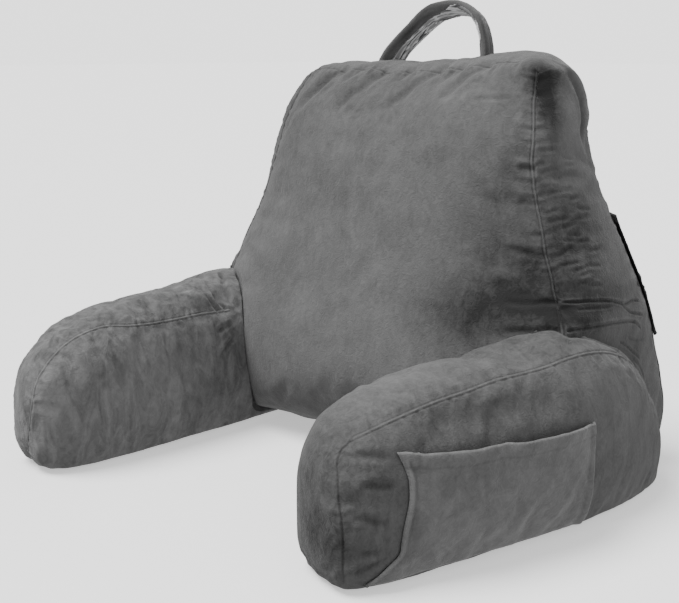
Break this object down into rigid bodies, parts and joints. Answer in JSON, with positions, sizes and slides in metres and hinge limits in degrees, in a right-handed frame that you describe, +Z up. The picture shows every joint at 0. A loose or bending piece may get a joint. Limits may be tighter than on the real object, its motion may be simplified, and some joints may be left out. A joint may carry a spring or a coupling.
{
  "type": "reading pillow",
  "caption": "Plush reading pillow: a raked back cushion with forward arms, a carry handle on its crest, an open side pocket and a back pocket.",
  "frame": {"origin": "middle of the floor area that the pillow covers, at floor level", "axes": "+Z up; -Y the front, where the arms point; +X the arm with the side pocket"},
  "size_m": [0.6678, 0.592, 0.5311],
  "materials": {
    "plush": "short-pile dark grey plush with a soft sheen",
    "mesh_cloth": "black fine mesh cloth"
  },
  "bodies": {
    "root": {"backrest": "plush", "arm_right": "plush", "arm_left": "plush", "handle": "plush", "arm_pocket": "plush", "back_pocket": "mesh_cloth"}
  },
  "joints": []
}
